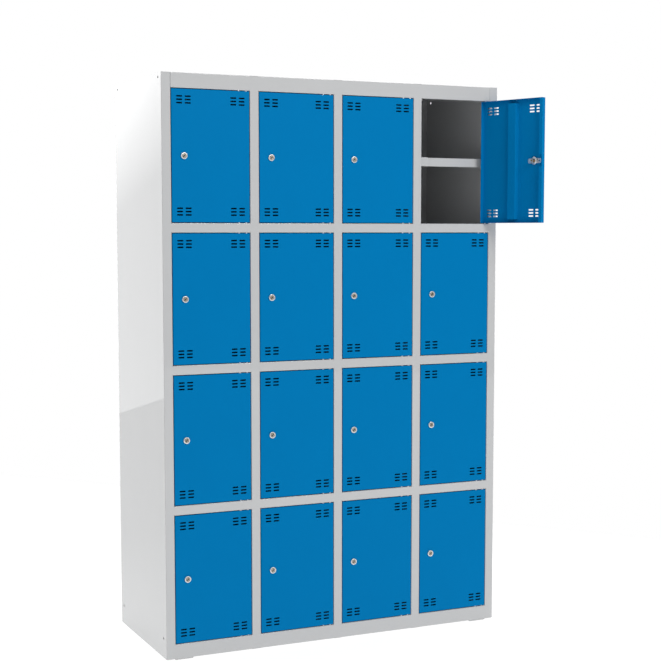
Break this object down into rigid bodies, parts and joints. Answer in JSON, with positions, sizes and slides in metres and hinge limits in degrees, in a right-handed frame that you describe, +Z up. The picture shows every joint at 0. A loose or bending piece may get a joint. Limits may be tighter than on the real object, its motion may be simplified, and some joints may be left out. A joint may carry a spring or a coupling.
{
  "type": "compartment locker",
  "caption": "Free-standing steel locker with a grid of inset keyed doors, one open, and a half shelf behind each door.",
  "frame": {"origin": "on the floor under the middle of the carcass; the underside of the base is 4 mm above it, on the foot pads", "axes": "+Z up, the doors face -Y, +X to the right seen from the front"},
  "size_m": [1.2469, 0.7316, 1.85],
  "materials": {
    "body_paint": "light grey powder coat, fine satin texture",
    "door_paint": "blue powder coat, fine satin texture",
    "lock_plating": "bright nickel plate on die-cast zinc"
  },
  "bodies": {
    "carcass": {"side_panel_left": "body_paint", "side_panel_right": "body_paint", "back_panel": "body_paint", "top_panel": "body_paint", "base_panel": "body_paint", "divider_1": "body_paint", "divider_2": "body_paint", "divider_3": "body_paint", "shelf_stack_1": "body_paint", "shelf_stack_2": "body_paint", "shelf_stack_3": "body_paint", "shelf_stack_4": "body_paint"},
    "door_r1c1": {"door_r1c1": "door_paint", "lock_body_r1c1": "lock_plating"},
    "lock_core_r1c1": {"lock_core_r1c1": "lock_plating"},
    "door_r1c2": {"door_r1c2": "door_paint", "lock_body_r1c2": "lock_plating"},
    "lock_core_r1c2": {"lock_core_r1c2": "lock_plating"},
    "door_r1c3": {"door_r1c3": "door_paint", "lock_body_r1c3": "lock_plating"},
    "lock_core_r1c3": {"lock_core_r1c3": "lock_plating"},
    "door_r1c4": {"door_r1c4": "door_paint", "lock_body_r1c4": "lock_plating"},
    "lock_core_r1c4": {"lock_core_r1c4": "lock_plating"},
    "door_r2c1": {"door_r2c1": "door_paint", "lock_body_r2c1": "lock_plating"},
    "lock_core_r2c1": {"lock_core_r2c1": "lock_plating"},
    "door_r2c2": {"door_r2c2": "door_paint", "lock_body_r2c2": "lock_plating"},
    "lock_core_r2c2": {"lock_core_r2c2": "lock_plating"},
    "door_r2c3": {"door_r2c3": "door_paint", "lock_body_r2c3": "lock_plating"},
    "lock_core_r2c3": {"lock_core_r2c3": "lock_plating"},
    "door_r2c4": {"door_r2c4": "door_paint", "lock_body_r2c4": "lock_plating"},
    "lock_core_r2c4": {"lock_core_r2c4": "lock_plating"},
    "door_r3c1": {"door_r3c1": "door_paint", "lock_body_r3c1": "lock_plating"},
    "lock_core_r3c1": {"lock_core_r3c1": "lock_plating"},
    "door_r3c2": {"door_r3c2": "door_paint", "lock_body_r3c2": "lock_plating"},
    "lock_core_r3c2": {"lock_core_r3c2": "lock_plating"},
    "door_r3c3": {"door_r3c3": "door_paint", "lock_body_r3c3": "lock_plating"},
    "lock_core_r3c3": {"lock_core_r3c3": "lock_plating"},
    "door_r3c4": {"door_r3c4": "door_paint", "lock_body_r3c4": "lock_plating"},
    "lock_core_r3c4": {"lock_core_r3c4": "lock_plating"},
    "door_r4c1": {"door_r4c1": "door_paint", "lock_body_r4c1": "lock_plating"},
    "lock_core_r4c1": {"lock_core_r4c1": "lock_plating"},
    "door_r4c2": {"door_r4c2": "door_paint", "lock_body_r4c2": "lock_plating"},
    "lock_core_r4c2": {"lock_core_r4c2": "lock_plating"},
    "door_r4c3": {"door_r4c3": "door_paint", "lock_body_r4c3": "lock_plating"},
    "lock_core_r4c3": {"lock_core_r4c3": "lock_plating"},
    "door_r4c4": {"door_r4c4": "door_paint", "lock_body_r4c4": "lock_plating"},
    "lock_core_r4c4": {"lock_core_r4c4": "lock_plating"}
  },
  "joints": [
    {"name": "hinge_r1c1", "type": "hinge", "parent": "carcass", "child": "door_r1c1", "pos_m": [-0.32, -0.245, 1.59525], "axis": [0, 0, 1], "range_deg": [0, 115]},
    {"name": "lock_turn_r1c1", "type": "hinge", "parent": "door_r1c1", "child": "lock_core_r1c1", "pos_m": [-0.528, -0.25, 1.59525], "axis": [0, 1, 0], "range_deg": [0, 180]},
    {"name": "hinge_r1c2", "type": "hinge", "parent": "carcass", "child": "door_r1c2", "pos_m": [-0.0275, -0.245, 1.59525], "axis": [0, 0, 1], "range_deg": [0, 115]},
    {"name": "lock_turn_r1c2", "type": "hinge", "parent": "door_r1c2", "child": "lock_core_r1c2", "pos_m": [-0.2355, -0.25, 1.59525], "axis": [0, 1, 0], "range_deg": [0, 180]},
    {"name": "hinge_r1c3", "type": "hinge", "parent": "carcass", "child": "door_r1c3", "pos_m": [0.265, -0.245, 1.59525], "axis": [0, 0, 1], "range_deg": [0, 115]},
    {"name": "lock_turn_r1c3", "type": "hinge", "parent": "door_r1c3", "child": "lock_core_r1c3", "pos_m": [0.057, -0.25, 1.59525], "axis": [0, 1, 0], "range_deg": [0, 180]},
    {"name": "hinge_r1c4", "type": "hinge", "parent": "carcass", "child": "door_r1c4", "pos_m": [0.5575, -0.245, 1.59525], "axis": [0, 0, 1], "range_deg": [-110, 5]},
    {"name": "lock_turn_r1c4", "type": "hinge", "parent": "door_r1c4", "child": "lock_core_r1c4", "pos_m": [0.63334, -0.43875, 1.59525], "axis": [-0.9397, -0.342, 0], "range_deg": [0, 180]},
    {"name": "hinge_r2c1", "type": "hinge", "parent": "carcass", "child": "door_r2c1", "pos_m": [-0.32, -0.245, 1.14975], "axis": [0, 0, 1], "range_deg": [0, 115]},
    {"name": "lock_turn_r2c1", "type": "hinge", "parent": "door_r2c1", "child": "lock_core_r2c1", "pos_m": [-0.528, -0.25, 1.14975], "axis": [0, 1, 0], "range_deg": [0, 180]},
    {"name": "hinge_r2c2", "type": "hinge", "parent": "carcass", "child": "door_r2c2", "pos_m": [-0.0275, -0.245, 1.14975], "axis": [0, 0, 1], "range_deg": [0, 115]},
    {"name": "lock_turn_r2c2", "type": "hinge", "parent": "door_r2c2", "child": "lock_core_r2c2", "pos_m": [-0.2355, -0.25, 1.14975], "axis": [0, 1, 0], "range_deg": [0, 180]},
    {"name": "hinge_r2c3", "type": "hinge", "parent": "carcass", "child": "door_r2c3", "pos_m": [0.265, -0.245, 1.14975], "axis": [0, 0, 1], "range_deg": [0, 115]},
    {"name": "lock_turn_r2c3", "type": "hinge", "parent": "door_r2c3", "child": "lock_core_r2c3", "pos_m": [0.057, -0.25, 1.14975], "axis": [0, 1, 0], "range_deg": [0, 180]},
    {"name": "hinge_r2c4", "type": "hinge", "parent": "carcass", "child": "door_r2c4", "pos_m": [0.5575, -0.245, 1.14975], "axis": [0, 0, 1], "range_deg": [0, 115]},
    {"name": "lock_turn_r2c4", "type": "hinge", "parent": "door_r2c4", "child": "lock_core_r2c4", "pos_m": [0.3495, -0.25, 1.14975], "axis": [0, 1, 0], "range_deg": [0, 180]},
    {"name": "hinge_r3c1", "type": "hinge", "parent": "carcass", "child": "door_r3c1", "pos_m": [-0.32, -0.245, 0.70425], "axis": [0, 0, 1], "range_deg": [0, 115]},
    {"name": "lock_turn_r3c1", "type": "hinge", "parent": "door_r3c1", "child": "lock_core_r3c1", "pos_m": [-0.528, -0.25, 0.70425], "axis": [0, 1, 0], "range_deg": [0, 180]},
    {"name": "hinge_r3c2", "type": "hinge", "parent": "carcass", "child": "door_r3c2", "pos_m": [-0.0275, -0.245, 0.70425], "axis": [0, 0, 1], "range_deg": [0, 115]},
    {"name": "lock_turn_r3c2", "type": "hinge", "parent": "door_r3c2", "child": "lock_core_r3c2", "pos_m": [-0.2355, -0.25, 0.70425], "axis": [0, 1, 0], "range_deg": [0, 180]},
    {"name": "hinge_r3c3", "type": "hinge", "parent": "carcass", "child": "door_r3c3", "pos_m": [0.265, -0.245, 0.70425], "axis": [0, 0, 1], "range_deg": [0, 115]},
    {"name": "lock_turn_r3c3", "type": "hinge", "parent": "door_r3c3", "child": "lock_core_r3c3", "pos_m": [0.057, -0.25, 0.70425], "axis": [0, 1, 0], "range_deg": [0, 180]},
    {"name": "hinge_r3c4", "type": "hinge", "parent": "carcass", "child": "door_r3c4", "pos_m": [0.5575, -0.245, 0.70425], "axis": [0, 0, 1], "range_deg": [0, 115]},
    {"name": "lock_turn_r3c4", "type": "hinge", "parent": "door_r3c4", "child": "lock_core_r3c4", "pos_m": [0.3495, -0.25, 0.70425], "axis": [0, 1, 0], "range_deg": [0, 180]},
    {"name": "hinge_r4c1", "type": "hinge", "parent": "carcass", "child": "door_r4c1", "pos_m": [-0.32, -0.245, 0.25875], "axis": [0, 0, 1], "range_deg": [0, 115]},
    {"name": "lock_turn_r4c1", "type": "hinge", "parent": "door_r4c1", "child": "lock_core_r4c1", "pos_m": [-0.528, -0.25, 0.25875], "axis": [0, 1, 0], "range_deg": [0, 180]},
    {"name": "hinge_r4c2", "type": "hinge", "parent": "carcass", "child": "door_r4c2", "pos_m": [-0.0275, -0.245, 0.25875], "axis": [0, 0, 1], "range_deg": [0, 115]},
    {"name": "lock_turn_r4c2", "type": "hinge", "parent": "door_r4c2", "child": "lock_core_r4c2", "pos_m": [-0.2355, -0.25, 0.25875], "axis": [0, 1, 0], "range_deg": [0, 180]},
    {"name": "hinge_r4c3", "type": "hinge", "parent": "carcass", "child": "door_r4c3", "pos_m": [0.265, -0.245, 0.25875], "axis": [0, 0, 1], "range_deg": [0, 115]},
    {"name": "lock_turn_r4c3", "type": "hinge", "parent": "door_r4c3", "child": "lock_core_r4c3", "pos_m": [0.057, -0.25, 0.25875], "axis": [0, 1, 0], "range_deg": [0, 180]},
    {"name": "hinge_r4c4", "type": "hinge", "parent": "carcass", "child": "door_r4c4", "pos_m": [0.5575, -0.245, 0.25875], "axis": [0, 0, 1], "range_deg": [0, 115]},
    {"name": "lock_turn_r4c4", "type": "hinge", "parent": "door_r4c4", "child": "lock_core_r4c4", "pos_m": [0.3495, -0.25, 0.25875], "axis": [0, 1, 0], "range_deg": [0, 180]}
  ]
}
